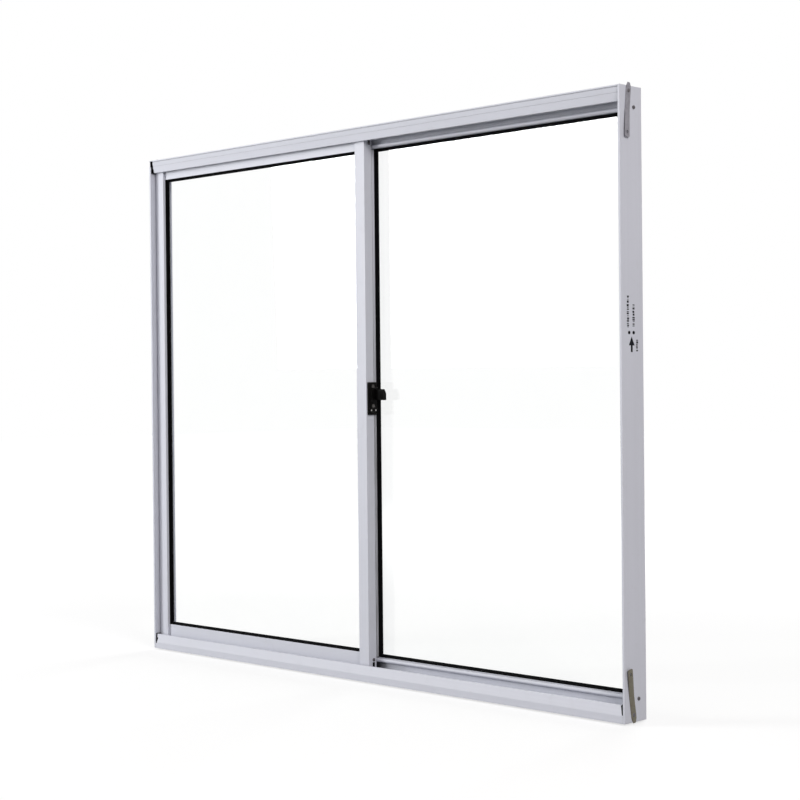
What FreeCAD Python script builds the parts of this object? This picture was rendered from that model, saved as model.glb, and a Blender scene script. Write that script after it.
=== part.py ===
import FreeCAD, Part
import os

# Two-panel horizontal sliding window, interior side facing -Y.
# X runs along the width, Z up, origin at the middle of the sill underside.
# Sections are laid out with depth measured from the interior front plane;
# save() moves every piece back so that the origin sits at mid depth.

os.makedirs("parts", exist_ok=True)

# Frame, overall
WIDTH = 1200.0
HEIGHT = 1000.0
DEPTH = 56.0
WALL = 1.3
FIN = 1.4

# Jamb section
JAMB_LIP = 4.0
JAMB_FIN_LENGTH = 9.2
JAMB_FIN_END = 45.0

# Head and sill run between the jamb lips
MEMBER_END = 4.2
HEAD_FLANGE_DROP = 25.0
HEAD_CREASE_DROP = 11.8
HEAD_BEAD_DROP = 2.2
HEAD_GROOVE = 1.4
HEAD_CREASE_CUT = 0.5
HEAD_BEAD_RECESS = 1.0
HEAD_CREASE_RECESS = 3.2
HEAD_FLANGE_RECESS = 6.4
SILL_FLANGE_HEIGHT = 28.5
SILL_BREAK_HEIGHT = 12.0
SILL_FLANGE_RECESS = 3.6
FLANGE_RETURN = 2.0
REAR_FLANGE_DROP = 25.0
REAR_FLANGE_HEIGHT = 20.0

# Places of the two sashes inside the frame: the room side recess, the gap
# between the sashes and the play at jambs and rear flange are fixed, and the
# two sashes share the depth that is left.
FRONT_RECESS = 12.5
SASH_GAP = 3.5
REAR_PLAY = 0.9
JAMB_PLAY = 5.0
STILE_THICK = (DEPTH - FRONT_RECESS - SASH_GAP - REAR_PLAY - WALL) / 2.0
FRONT_SASH_DEPTH = FRONT_RECESS
REAR_SASH_DEPTH = FRONT_RECESS + STILE_THICK + SASH_GAP

# Screw ports on the centre fins of head and sill, just behind the front sash
PORT_RADIUS = 3.7
PORT_BORE = 1.7
PORT_PLAY = 0.6
PORT_FROM_TOP = 32.9
PORT_FROM_BOTTOM = 35.7
PORT_SLIT = 1.4
PORT_DEPTH = FRONT_RECESS + STILE_THICK + PORT_PLAY + PORT_RADIUS
CENTRE_FIN_DEPTH = PORT_DEPTH + PORT_RADIUS - 0.1 - WALL

# Tracks
FRONT_TRACK_TOP = 22.0
REAR_TRACK_TOP = 12.4
TRACK_BEAD_RADIUS = 1.5

# Drainage in the sill
DRAIN_LENGTH = 28.0
DRAIN_HEIGHT = 5.0
DRAIN_SILL = 0.6
DRAIN_FROM_MIDDLE = (-0.433 * WIDTH, -0.15 * WIDTH, 0.15 * WIDTH, 0.433 * WIDTH)

# Sash sections
STILE_WIDTH = 24.4
RAIL_SETBACK = 5.0
RAIL_THICK = STILE_THICK - RAIL_SETBACK
BOTTOM_RAIL_HEIGHT = 34.3
TOP_RAIL_HEIGHT = 26.0
POCKET_DEPTH = 8.5
POCKET_LIP = 1.2
POCKET_WIDTH = RAIL_THICK - 2.0 * POCKET_LIP
POCKET_MID = RAIL_SETBACK + RAIL_THICK / 2.0
GROOVE_DEPTH = 9.4
GROOVE_MOUTH = 6.8
END_NOTCH_WIDTH = 5.0
END_NOTCH_FROM_HEAD_RAIL = 16.0
END_NOTCH_FROM_RAIL_TOP = 17.7
PORT_CLEARANCE = 0.5
PORT_END_CLEARANCE = 1.5

# Front sash sits at the left, rear sash at the right. Their meeting stiles
# overlap around the middle; the rear sash rides lower and is taller.
MEETING_EDGE_FRONT = 17.4
MEETING_EDGE_REAR = -9.8
FRONT_SASH_LEFT = -WIDTH / 2.0 + JAMB_PLAY
FRONT_SASH_RIGHT = MEETING_EDGE_FRONT
REAR_SASH_LEFT = MEETING_EDGE_REAR
REAR_SASH_RIGHT = WIDTH / 2.0 - JAMB_PLAY
FRONT_RAIL_TOP = 49.3
REAR_RAIL_TOP = 40.0
FRONT_RAIL_DROP = 40.0
REAR_RAIL_DROP = 36.5
FRONT_HEAD_RAIL_LOW = HEIGHT - FRONT_RAIL_DROP
REAR_HEAD_RAIL_LOW = HEIGHT - REAR_RAIL_DROP

# Glass and glazing gasket
GLASS_THICK = RAIL_THICK / 3.475
GLASS_EDGE = 6.3
GASKET_EDGE = 7.6
GASKET_FACE = 5.0
GASKET_RECESS = 0.4
GASKET_PLAY = 0.05
GASKET_RIM = 0.8

# Sash screws, rollers and guides
SASH_PORT_RADIUS = 2.9
SASH_PORT_BORE = 1.5
SASH_PORT_SINK = 0.3
ROUTING_PLAY = 0.6
SCREW_SHANK = 1.4
SCREW_HEAD = 3.0
SCREW_HEAD_HEIGHT = 1.8
SCREW_HOLE = 1.7
SCREW_REACH = 14.0
FRAME_SCREW_REACH = 22.0
SEAT_GAP = 0.2
CARRIER_WIDTH = RAIL_THICK - 2.0 * WALL - 2.0 * SEAT_GAP
CARRIER_LENGTH = 40.0
CARRIER_FROM_STILE = 1.0
CARRIER_BOTTOM_ABOVE_TRACK = 1.0
WHEEL_RADIUS = 6.2
WHEEL_GROOVE_RADIUS = 4.8
WHEEL_WIDTH = CARRIER_WIDTH / 2.0
WHEEL_SIDE_PLAY = WHEEL_WIDTH / 8.0
WHEEL_BORE = 1.6
GROOVE_NIP = 0.5
WHEEL_END_PLAY = 1.0
AXLE_RADIUS = 1.5
CARRIER_PLATE = (CARRIER_WIDTH - WHEEL_WIDTH) / 2.0 - WHEEL_SIDE_PLAY
TRACK_PLAY = 0.02
GUIDE_LENGTH = 22.0
GUIDE_SLOT = 2.4
GUIDE_FLOOR = 1.0
GUIDE_FROM_STILE = 0.5

# Interlock between the meeting stiles
HOOK_WALL = 0.9
HOOK_END = 45.0
HOOK_PLAY = 0.4
HOOK_SPACE = 0.5
FRONT_HOOK_LEG = 4.2
FRONT_HOOK_FOOT = 10.2
REAR_HOOK_LEG = 7.0
REAR_HOOK_FOOT = 10.0
PILE_WIDTH = 4.0
PILE_FROM_EDGE = 8.9

# Latch on the side of the front meeting stile
LATCH_FRONT = FRONT_SASH_DEPTH + 2.2
LATCH_BACK = FRONT_SASH_DEPTH + STILE_THICK + SASH_GAP - 0.4
LATCH_LENGTH = 59.0
LATCH_ABOVE_MIDDLE = 10.5
LATCH_THICK = 4.0
LATCH_CORNER = 2.5
LATCH_SCREW_SPACING = 35.5
LATCH_SCREW_ABOVE_MIDDLE = 14.75
LATCH_SCREW_BEHIND = 0.85
LATCH_SCREW_HEAD = 2.6
LATCH_SCREW_HEAD_HEIGHT = 1.2
LEVER_HEIGHT = 21.0
LEVER_ABOVE_MIDDLE = 17.5
LEVER_REACH = 28.5
LEVER_THICK = 3.5
LEVER_BASE = 3.0
LEVER_CORNER = 5.0
LEVER_BACK = FRONT_SASH_DEPTH + STILE_THICK - 0.1
KEEPER_LENGTH = 58.0
KEEPER_ABOVE_MIDDLE = LATCH_ABOVE_MIDDLE
KEEPER_THICK = 3.0

# Anchor straps on the outer faces of the jambs
STRAP_WIDTH = 12.0
STRAP_THICK = 1.2
STRAP_LENGTH = 87.0
STRAP_TIP = 13.0
STRAP_FLAT = 30.0
STRAP_LIFT = 3.0
STRAP_HOLE = 2.2
STRAP_HOLE_FROM_END = 8.0
STRAP_SHOULDER = 6.0
STRAP_TIP_WIDTH = 6.0
STRAP_CORNER = 2.0
TOP_STRAP_DEPTH = 0.391 * DEPTH
TOP_STRAP_FROM_TOP = 8.0
TOP_STRAP_TURN = -6.1
BOTTOM_STRAP_DEPTH = 0.391 * DEPTH
BOTTOM_STRAP_HEIGHT = 12.0
BOTTOM_STRAP_TURN = 9.3
RIVET_RADIUS = 3.2
RIVET_HEIGHT = 1.3

# Black seals pressed between the jambs and the ends of head and sill; at the
# sill the flange ends are cut at a slant and the seal shows in the cut.
SEAL_MARGIN = 1.6
SEAL_OVER = 1.0
SEAL_UNDER_TOP = 1.5
SEAL_EAR_FRONT = 4.0
SEAL_EAR_BACK = 7.6
CUT_DEPTH = 8.0
CUT_WIDTH_RIGHT = 4.5
CUT_LOW_RIGHT = 12.8
CUT_WIDTH_LEFT = 4.0
CUT_LOW_LEFT = 10.0
CUT_SHOULDER_LEFT = 21.0
HEAD_CUT_WIDTH = 5.0
HEAD_CUT_NARROW = 2.5
LIP_NOTCH_LOW = 13.0
LIP_NOTCH_HIGH = 2.0

HALF = WIDTH / 2.0
INNER = HALF - WALL
LIP_X = HALF - JAMB_LIP
END_X = HALF - MEMBER_END
MIDDLE_Z = HEIGHT / 2.0


def vec(x, y, z):
    return FreeCAD.Vector(x, y, z)


def save(name, shape):
    moved = shape.copy()
    moved.translate(vec(0, -DEPTH / 2.0, 0))
    moved.exportStep("parts/" + name + ".step")


def box(x0, x1, y0, y1, z0, z1):
    low = vec(min(x0, x1), min(y0, y1), min(z0, z1))
    return Part.makeBox(abs(x1 - x0), abs(y1 - y0), abs(z1 - z0), low)


def along_x(points, x0, x1):
    loop = [vec(x0, y, z) for y, z in points]
    face = Part.Face(Part.makePolygon(loop + loop[:1]))
    return face.extrude(vec(x1 - x0, 0, 0))


def along_y(points, y0, y1):
    loop = [vec(x, y0, z) for x, z in points]
    face = Part.Face(Part.makePolygon(loop + loop[:1]))
    return face.extrude(vec(0, y1 - y0, 0))


def rod_x(x0, x1, y, z, radius):
    return Part.makeCylinder(radius, abs(x1 - x0), vec(min(x0, x1), y, z), vec(1, 0, 0))


def rod_y(x, y0, y1, z, radius):
    return Part.makeCylinder(radius, y1 - y0, vec(x, y0, z), vec(0, 1, 0))


def joined(shapes):
    whole = shapes[0]
    if len(shapes) > 1:
        whole = whole.fuse(shapes[1:])
    return whole.removeSplitter()


def group(shapes):
    return Part.makeCompound(shapes)


# Frame members


def screw_port(z, opening):
    ring = rod_x(-END_X, END_X, PORT_DEPTH, z, PORT_RADIUS)
    return ring, rod_x(-END_X, END_X, PORT_DEPTH, z, PORT_BORE), box(
        -END_X, END_X, PORT_DEPTH - PORT_SLIT / 2.0, PORT_DEPTH + PORT_SLIT / 2.0, z, z + opening)


def head_end_cut():
    top = HEIGHT - WALL
    low = HEIGHT - HEAD_FLANGE_DROP - SEAL_OVER
    return [(-END_X, top), (-END_X + HEAD_CUT_WIDTH, top), (-END_X + HEAD_CUT_NARROW, low), (-END_X, low)]


def head():
    top = HEIGHT
    low = top - HEAD_FLANGE_DROP
    crease = top - HEAD_CREASE_DROP
    bead = top - HEAD_BEAD_DROP
    groove_floor = HEAD_BEAD_RECESS + HEAD_GROOVE
    face_start = HEAD_BEAD_RECESS + 0.25 * HEAD_GROOVE
    half_cut = 0.7 * HEAD_CREASE_CUT
    flange = [
        (HEAD_BEAD_RECESS, top),
        (HEAD_BEAD_RECESS, bead),
        (groove_floor, bead - 0.2 * HEAD_GROOVE),
        (groove_floor, bead - HEAD_GROOVE),
        (face_start, bead - 1.2 * HEAD_GROOVE),
        (HEAD_CREASE_RECESS, crease + half_cut),
        (HEAD_CREASE_RECESS + HEAD_CREASE_CUT, crease),
        (HEAD_CREASE_RECESS, crease - half_cut),
        (HEAD_FLANGE_RECESS, low),
        (HEAD_FLANGE_RECESS + WALL + FLANGE_RETURN, low),
        (HEAD_FLANGE_RECESS + WALL + FLANGE_RETURN, low + WALL),
        (HEAD_FLANGE_RECESS + WALL, low + WALL),
        (HEAD_CREASE_RECESS + HEAD_CREASE_CUT + WALL, crease),
        (groove_floor + WALL, bead - 1.2 * HEAD_GROOVE),
        (groove_floor + WALL, top),
    ]
    port_z = top - PORT_FROM_TOP
    ring, bore, slit = screw_port(port_z, -PORT_RADIUS - 1.0)
    pieces = [
        along_x(flange, -END_X, END_X),
        box(-END_X, END_X, HEAD_BEAD_RECESS, DEPTH, top - WALL, top),
        box(-END_X, END_X, CENTRE_FIN_DEPTH, CENTRE_FIN_DEPTH + WALL, port_z, top),
        box(-END_X, END_X, DEPTH - WALL, DEPTH, top - REAR_FLANGE_DROP, top),
        ring,
    ]
    for sash_depth, rail_low in ((FRONT_SASH_DEPTH, FRONT_HEAD_RAIL_LOW),
                                 (REAR_SASH_DEPTH, REAR_HEAD_RAIL_LOW)):
        mid = sash_depth + POCKET_MID
        fin_low = rail_low + POCKET_DEPTH + WALL + 2.0 * SASH_PORT_RADIUS + 1.9
        pieces.append(box(-END_X, END_X, mid - FIN / 2.0, mid + FIN / 2.0, fin_low, top))
    body = joined(pieces).cut(bore).cut(slit)
    return body.cut(along_y(head_end_cut(), -1.0, CUT_DEPTH))


def track(mid, top):
    centre = top - TRACK_BEAD_RADIUS
    rib = box(-END_X, END_X, mid - FIN / 2.0, mid + FIN / 2.0, 0, centre)
    return [rib, rod_x(-END_X, END_X, mid, centre, TRACK_BEAD_RADIUS)]


def sill_end_cut(side):
    top = SILL_FLANGE_HEIGHT + SEAL_OVER
    if side > 0:
        return [(END_X, CUT_LOW_RIGHT), (END_X, top), (END_X - CUT_WIDTH_RIGHT, top),
                (END_X - CUT_WIDTH_RIGHT, SILL_FLANGE_HEIGHT - FLANGE_RETURN)]
    return [(-END_X, CUT_LOW_LEFT), (-END_X + CUT_WIDTH_LEFT, CUT_LOW_LEFT),
            (-END_X + CUT_WIDTH_LEFT, CUT_SHOULDER_LEFT), (-END_X + 0.25 * CUT_WIDTH_LEFT, top),
            (-END_X, top)]


def sill():
    flange = [
        (0, 0),
        (0, SILL_BREAK_HEIGHT),
        (SILL_FLANGE_RECESS, SILL_FLANGE_HEIGHT),
        (SILL_FLANGE_RECESS + WALL + FLANGE_RETURN, SILL_FLANGE_HEIGHT),
        (SILL_FLANGE_RECESS + WALL + FLANGE_RETURN, SILL_FLANGE_HEIGHT - WALL),
        (SILL_FLANGE_RECESS + WALL, SILL_FLANGE_HEIGHT - WALL),
        (WALL, SILL_BREAK_HEIGHT),
        (WALL, 0),
    ]
    ring, bore, slit = screw_port(PORT_FROM_BOTTOM, PORT_RADIUS + 1.0)
    pieces = [
        along_x(flange, -END_X, END_X),
        box(-END_X, END_X, 0, DEPTH, 0, WALL),
        box(-END_X, END_X, CENTRE_FIN_DEPTH, CENTRE_FIN_DEPTH + WALL, 0, PORT_FROM_BOTTOM),
        box(-END_X, END_X, DEPTH - WALL, DEPTH, 0, REAR_FLANGE_HEIGHT),
        ring,
    ]
    pieces += track(FRONT_SASH_DEPTH + POCKET_MID, FRONT_TRACK_TOP)
    pieces += track(REAR_SASH_DEPTH + POCKET_MID, REAR_TRACK_TOP)
    body = joined(pieces).cut(bore).cut(slit)
    for side in (1, -1):
        body = body.cut(along_y(sill_end_cut(side), -1.0, CUT_DEPTH))
    for x in DRAIN_FROM_MIDDLE:
        low = WALL + DRAIN_SILL
        half = DRAIN_LENGTH / 2.0
        body = body.cut(box(x - half, x + half, DEPTH - 2.0 * WALL, DEPTH + 1, low, low + DRAIN_HEIGHT))
        body = body.cut(box(x - half, x + half, CENTRE_FIN_DEPTH - 1, CENTRE_FIN_DEPTH + 2.0 * WALL,
                            low, low + DRAIN_HEIGHT))
    return body


def jamb(side):
    outer = side * HALF
    inner = side * INNER
    lip = side * LIP_X
    pieces = [
        box(outer, inner, 0, DEPTH, 0, HEIGHT),
        box(outer, lip, 0, FIN, 0, HEIGHT),
        box(outer, lip, DEPTH - FIN, DEPTH, 0, HEIGHT),
    ]
    between = (FRONT_SASH_DEPTH + STILE_THICK + REAR_SASH_DEPTH) / 2.0
    for mid in (FRONT_SASH_DEPTH + POCKET_MID, between, REAR_SASH_DEPTH + POCKET_MID):
        pieces.append(box(inner, inner - side * JAMB_FIN_LENGTH, mid - FIN / 2.0, mid + FIN / 2.0,
                          JAMB_FIN_END, HEIGHT - JAMB_FIN_END))
    body = joined(pieces)
    for z in (PORT_FROM_BOTTOM, HEIGHT - PORT_FROM_TOP):
        body = body.cut(rod_x(outer + side, inner - side, PORT_DEPTH, z, SCREW_HOLE))
    if side < 0:
        body = body.cut(box(outer - 1, lip + 1, -1, FIN, HEIGHT - LIP_NOTCH_LOW, HEIGHT - LIP_NOTCH_HIGH))
    return body


def corner_seal(side, at_top):
    inner = side * INNER
    end = side * END_X
    if at_top:
        pad = box(inner, end, SEAL_MARGIN, DEPTH - SEAL_MARGIN,
                  HEIGHT - HEAD_FLANGE_DROP - SEAL_OVER, HEIGHT - SEAL_UNDER_TOP)
        return pad if side > 0 else joined([pad, along_y(head_end_cut(), SEAL_EAR_FRONT, SEAL_EAR_BACK)])
    pad = box(inner, end, SEAL_MARGIN, DEPTH - SEAL_MARGIN,
              SEAL_UNDER_TOP, SILL_FLANGE_HEIGHT + SEAL_OVER)
    return joined([pad, along_y(sill_end_cut(side), SEAL_EAR_FRONT, SEAL_EAR_BACK)])


def screw_x(x_seat, side, y, z, reach, head_radius, head_height):
    head_part = rod_x(x_seat, x_seat + side * head_height, y, z, head_radius)
    return joined([head_part, rod_x(x_seat, x_seat - side * reach, y, z, SCREW_SHANK)])


# Sash members


def stile(x_outer, side, depth, z0, z1, grooved):
    def cell(s0, s1, d0, d1, low=z0 - 1.0, high=z1 + 1.0):
        return box(x_outer + side * s0, x_outer + side * s1, depth + d0, depth + d1, low, high)

    pocket_front = POCKET_MID - POCKET_WIDTH / 2.0
    pocket_back = POCKET_MID + POCKET_WIDTH / 2.0
    pocket_floor = STILE_WIDTH - POCKET_DEPTH
    body = cell(0, STILE_WIDTH, 0, STILE_THICK, z0, z1)
    body = body.cut(cell(WALL, STILE_WIDTH - WALL, WALL, pocket_front - WALL))
    body = body.cut(cell(pocket_floor, STILE_WIDTH + 1, pocket_front, pocket_back))
    chamber_back = STILE_THICK - WALL
    if grooved:
        body = body.cut(cell(WALL, GROOVE_DEPTH, pocket_front, chamber_back))
        body = body.cut(cell(-1, WALL, POCKET_MID - GROOVE_MOUTH / 2.0, POCKET_MID + GROOVE_MOUTH / 2.0))
        body = body.cut(cell(GROOVE_DEPTH + WALL, pocket_floor - WALL, pocket_front, chamber_back))
    else:
        body = body.cut(cell(WALL, pocket_floor - WALL, pocket_front, chamber_back))
    return body


def stile_ends(body, x_outer, side, sash):
    mid = sash["depth"] + POCKET_MID
    half = END_NOTCH_WIDTH / 2.0
    x0 = x_outer - side
    x1 = x_outer + side * (STILE_WIDTH + 1)
    top_notch = sash["head_rail_low"] + END_NOTCH_FROM_HEAD_RAIL
    bottom_notch = sash["rail_top"] - END_NOTCH_FROM_RAIL_TOP
    body = body.cut(box(x0, x1, mid - half, mid + half, top_notch, HEIGHT))
    body = body.cut(box(x0, x1, mid - half, mid + half, 0, bottom_notch))
    for z in (sash["port_low"], sash["port_high"]):
        body = body.cut(rod_x(x0, x1, mid, z, SCREW_HOLE))
    # The wall under the glazing pocket is routed away round the rails' screw ports.
    routed = SASH_PORT_RADIUS + ROUTING_PLAY
    wall_x = x_outer + side * (STILE_WIDTH - POCKET_DEPTH - 2.0 * WALL)
    body = body.cut(box(wall_x, x1, mid - routed, mid + routed, 0, sash["port_low"] + routed))
    body = body.cut(box(wall_x, x1, mid - routed, mid + routed, sash["port_high"] - routed, HEIGHT))
    if sash["behind_port"]:
        clear = PORT_DEPTH + PORT_RADIUS + PORT_CLEARANCE
        reach = PORT_RADIUS + PORT_END_CLEARANCE
        body = body.cut(box(x0, x1, 0, clear, 0, PORT_FROM_BOTTOM + reach))
        body = body.cut(box(x0, x1, 0, clear, HEIGHT - PORT_FROM_TOP - reach, HEIGHT))
    return body


def bottom_rail(x0, x1, sash):
    y0 = sash["depth"] + RAIL_SETBACK
    top = sash["rail_top"]
    low = top - BOTTOM_RAIL_HEIGHT
    floor = top - POCKET_DEPTH
    mid = sash["depth"] + POCKET_MID
    body = box(x0, x1, y0, y0 + RAIL_THICK, low, top)
    body = body.cut(box(x0, x1, y0 + POCKET_LIP, y0 + RAIL_THICK - POCKET_LIP, floor, top + 1))
    body = body.cut(box(x0, x1, y0 + WALL, y0 + RAIL_THICK - WALL, low - 1, floor - WALL))
    port = box(x0, x1, mid - SASH_PORT_RADIUS, mid + SASH_PORT_RADIUS,
               sash["port_low"] - SASH_PORT_RADIUS, floor - WALL)
    return joined([body, port]).cut(rod_x(x0, x1, mid, sash["port_low"], SASH_PORT_BORE))


def top_rail(x0, x1, sash):
    y0 = sash["depth"] + RAIL_SETBACK
    low = sash["head_rail_low"]
    top = low + TOP_RAIL_HEIGHT
    floor = low + POCKET_DEPTH
    mid = sash["depth"] + POCKET_MID
    body = box(x0, x1, y0, y0 + RAIL_THICK, low, top)
    body = body.cut(box(x0, x1, y0 + POCKET_LIP, y0 + RAIL_THICK - POCKET_LIP, low - 1, floor))
    body = body.cut(box(x0, x1, y0 + WALL, y0 + RAIL_THICK - WALL, floor + WALL, top + 1))
    port = box(x0, x1, mid - SASH_PORT_RADIUS, mid + SASH_PORT_RADIUS,
               floor + WALL, sash["port_high"] + SASH_PORT_RADIUS)
    return joined([body, port]).cut(rod_x(x0, x1, mid, sash["port_high"], SASH_PORT_BORE))


def hook(x_leg, side, y_stile, direction, y_foot, x_foot_end):
    leg = box(x_leg, x_leg + side * HOOK_WALL, y_stile, y_foot + direction * HOOK_WALL,
              HOOK_END, HEIGHT - HOOK_END)
    foot = box(x_leg + side * HOOK_WALL, x_foot_end, y_foot, y_foot + direction * HOOK_WALL,
               HOOK_END, HEIGHT - HOOK_END)
    return [leg, foot]


def rectangle_wire(x0, x1, z0, z1, y):
    loop = [vec(x0, y, z0), vec(x1, y, z0), vec(x1, y, z1), vec(x0, y, z1)]
    return Part.makePolygon(loop + loop[:1])


def glazing(sash):
    x0 = sash["left"] + STILE_WIDTH
    x1 = sash["right"] - STILE_WIDTH
    z0 = sash["rail_top"]
    z1 = sash["head_rail_low"]
    mid = sash["depth"] + POCKET_MID
    half = GLASS_THICK / 2.0
    grow = GLASS_EDGE
    glass = box(x0 - grow, x1 + grow, mid - half, mid + half, z0 - grow, z1 + grow)
    edge = GASKET_EDGE
    seat = POCKET_WIDTH / 2.0 - GASKET_PLAY
    ring = box(x0 - edge, x1 + edge, mid - seat, mid + seat, z0 - edge, z1 + edge)
    reach = RAIL_THICK / 2.0 - GASKET_RECESS
    play = GASKET_PLAY
    ring = ring.fuse(box(x0 + play, x1 - play, mid - reach, mid + reach, z0 + play, z1 - play))
    face = GASKET_FACE
    start = GASKET_RIM
    for turn in (-1.0, 1.0):
        near = rectangle_wire(x0 + face, x1 - face, z0 + face, z1 - face, mid)
        glass_line = rectangle_wire(x0 + face, x1 - face, z0 + face, z1 - face, mid + turn * half)
        rim = rectangle_wire(x0 + start, x1 - start, z0 + start, z1 - start, mid + turn * (reach + 0.01))
        ring = ring.cut(Part.makeLoft([near, glass_line], True))
        ring = ring.cut(Part.makeLoft([glass_line, rim], True))
    ring = ring.cut(glass)
    return glass, ring


def roller(x, mid, track_top):
    centre = track_top + WHEEL_GROOVE_RADIUS + TRACK_PLAY
    half = WHEEL_WIDTH / 2.0
    profile = [vec(x, mid - half, centre + WHEEL_BORE), vec(x, mid - half, centre + WHEEL_RADIUS),
               vec(x, mid, centre + WHEEL_GROOVE_RADIUS - GROOVE_NIP),
               vec(x, mid + half, centre + WHEEL_RADIUS), vec(x, mid + half, centre + WHEEL_BORE)]
    face = Part.Face(Part.makePolygon(profile + profile[:1]))
    return face.revolve(vec(x, mid, centre), vec(0, 1, 0), 360)


def carrier(x, mid, track_top, ceiling):
    centre = track_top + WHEEL_GROOVE_RADIUS + TRACK_PLAY
    low = track_top + CARRIER_BOTTOM_ABOVE_TRACK
    half = CARRIER_WIDTH / 2.0
    span = CARRIER_LENGTH / 2.0
    gap = half - CARRIER_PLATE
    room = WHEEL_RADIUS + WHEEL_END_PLAY
    body = box(x - span, x + span, mid - half, mid + half, low, ceiling)
    body = body.cut(box(x - room, x + room, mid - gap, mid + gap, low, ceiling))
    return joined([body, rod_y(x, mid - gap, mid + gap, centre, AXLE_RADIUS)])


def top_guide(x, mid, low, high):
    half = CARRIER_WIDTH / 2.0
    span = GUIDE_LENGTH / 2.0
    body = box(x - span, x + span, mid - half, mid + half, low, high)
    slot = GUIDE_SLOT / 2.0
    return body.cut(box(x - span, x + span, mid - slot, mid + slot, low + GUIDE_FLOOR, high))


def build_sash(name, sash):
    z0 = sash["rail_top"] - BOTTOM_RAIL_HEIGHT
    z1 = sash["head_rail_low"] + TOP_RAIL_HEIGHT
    mid = sash["depth"] + POCKET_MID
    port_step = POCKET_DEPTH + WALL + SASH_PORT_RADIUS - SASH_PORT_SINK
    sash["port_low"] = sash["rail_top"] - port_step
    sash["port_high"] = sash["head_rail_low"] + port_step
    side = sash["side"]
    x_side = sash["left"] if side > 0 else sash["right"]
    x_meet = sash["right"] if side > 0 else sash["left"]
    side_stile = stile_ends(stile(x_side, side, sash["depth"], z0, z1, True), x_side, side, sash)
    meeting = stile_ends(stile(x_meet, -side, sash["depth"], z0, z1, False), x_meet, -side, sash)
    if side > 0:
        back = sash["depth"] + STILE_THICK
        leg = x_meet - FRONT_HOOK_LEG
        foot = back + HOOK_SPACE + HOOK_WALL + HOOK_PLAY
        meeting = joined([meeting] + hook(leg, -1, back, 1, foot, leg - FRONT_HOOK_FOOT))
    else:
        leg = x_meet + REAR_HOOK_LEG
        foot = sash["depth"] - SASH_GAP + HOOK_SPACE + HOOK_WALL
        meeting = joined([meeting] + hook(leg, 1, sash["depth"], -1, foot, leg + REAR_HOOK_FOOT))
    save(name + "_side_stile", side_stile)
    save(name + "_meeting_stile", meeting)
    x0 = sash["left"] + STILE_WIDTH
    x1 = sash["right"] - STILE_WIDTH
    save(name + "_bottom_rail", bottom_rail(x0, x1, sash))
    save(name + "_top_rail", top_rail(x0, x1, sash))
    glass, ring = glazing(sash)
    save(name + "_glass", glass)
    save(name + "_gasket", ring)
    ceiling = sash["port_low"] - SASH_PORT_RADIUS - SEAT_GAP
    guide_low = sash["port_high"] + SASH_PORT_RADIUS + SEAT_GAP
    carrier_in = CARRIER_LENGTH / 2.0 + CARRIER_FROM_STILE
    guide_in = GUIDE_LENGTH / 2.0 + GUIDE_FROM_STILE
    ends = (x0 + carrier_in, x1 - carrier_in)
    guide_ends = (x0 + guide_in, x1 - guide_in)
    save(name + "_rollers", group([roller(x, mid, sash["track"]) for x in ends]))
    save(name + "_roller_carriers", group([carrier(x, mid, sash["track"], ceiling) for x in ends]))
    save(name + "_top_guides", group([top_guide(x, mid, guide_low, z1) for x in guide_ends]))
    screws = []
    for z in (sash["port_low"], sash["port_high"]):
        screws.append(screw_x(x_meet, side, mid, z, STILE_WIDTH + SCREW_REACH, SCREW_HEAD, SCREW_HEAD_HEIGHT))
        seat = x_side + side * GROOVE_DEPTH
        reach = STILE_WIDTH - GROOVE_DEPTH + SCREW_REACH
        screws.append(screw_x(seat, -side, mid, z, reach, SCREW_HEAD, SCREW_HEAD_HEIGHT))
    save(name + "_screws", group(screws))


# Hardware


def latch_body():
    x0 = FRONT_SASH_RIGHT
    low = MIDDLE_Z + LATCH_ABOVE_MIDDLE - LATCH_LENGTH / 2.0
    plate = box(x0, x0 + LATCH_THICK, LATCH_FRONT, LATCH_BACK, low, low + LATCH_LENGTH)
    edges = [e for e in plate.Edges if abs(e.tangentAt(e.FirstParameter).x) > 0.99]
    return plate.makeFillet(LATCH_CORNER, edges)


def latch_lever():
    x0 = FRONT_SASH_RIGHT + LATCH_THICK
    back = LEVER_BACK
    low = MIDDLE_Z + LEVER_ABOVE_MIDDLE - LEVER_HEIGHT / 2.0
    high = low + LEVER_HEIGHT
    base = box(x0, x0 + LEVER_BASE, LATCH_FRONT + LEVER_HEIGHT / 5.0, back, low, high)
    tab = box(x0, x0 + LEVER_REACH, back - LEVER_THICK, back, low, high)
    tip = [e for e in tab.Edges
           if abs(e.tangentAt(e.FirstParameter).y) > 0.99 and e.CenterOfMass.x > x0 + LEVER_BASE]
    return joined([base, tab.makeFillet(LEVER_CORNER, tip)])


def latch_screws():
    y = (LATCH_FRONT + LATCH_BACK) / 2.0 + LATCH_SCREW_BEHIND
    middle = MIDDLE_Z + LATCH_SCREW_ABOVE_MIDDLE
    x0 = FRONT_SASH_RIGHT + LATCH_THICK
    return group([rod_x(x0, x0 + LATCH_SCREW_HEAD_HEIGHT, y, middle + turn * LATCH_SCREW_SPACING / 2.0,
                        LATCH_SCREW_HEAD) for turn in (-1, 1)])


def latch_keeper():
    x0 = REAR_SASH_LEFT + STILE_WIDTH
    low = MIDDLE_Z + KEEPER_ABOVE_MIDDLE - KEEPER_LENGTH / 2.0
    return box(x0, x0 + KEEPER_THICK, REAR_SASH_DEPTH + HOOK_SPACE, REAR_SASH_DEPTH + RAIL_SETBACK,
               low, low + KEEPER_LENGTH)


def interlock_pile():
    x1 = FRONT_SASH_RIGHT - PILE_FROM_EDGE
    foot = FRONT_SASH_DEPTH + STILE_THICK + HOOK_SPACE + HOOK_PLAY + 2.0 * HOOK_WALL
    return box(x1 - PILE_WIDTH, x1, foot, REAR_SASH_DEPTH, HOOK_END, HEIGHT - HOOK_END)


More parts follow.
